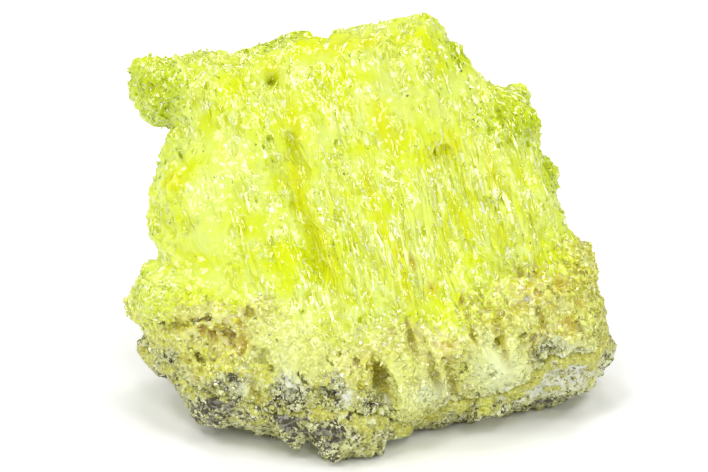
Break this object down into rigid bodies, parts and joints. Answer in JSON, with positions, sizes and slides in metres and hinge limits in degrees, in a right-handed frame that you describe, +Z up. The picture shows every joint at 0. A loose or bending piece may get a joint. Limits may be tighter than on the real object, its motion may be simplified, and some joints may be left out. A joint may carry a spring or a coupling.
{
  "type": "native sulfur crystal",
  "caption": "Intergrown mass of translucent yellow sulfur crystals with a ribbed, leaning front face, standing on a foot of grey host rock.",
  "frame": {"origin": "on the surface it stands on, under the middle of its box", "axes": "+X to the right across the ribbed face, +Y from that face to the back, +Z up; the ribbed face looks along -Y and leans back"},
  "size_m": [0.066, 0.0396, 0.0532],
  "materials": {
    "sulfur": "translucent resinous crystal",
    "rock": "dull rough"
  },
  "bodies": {
    "root": {"sulfur_crystals": "sulfur", "host_rock": "rock"}
  },
  "joints": []
}
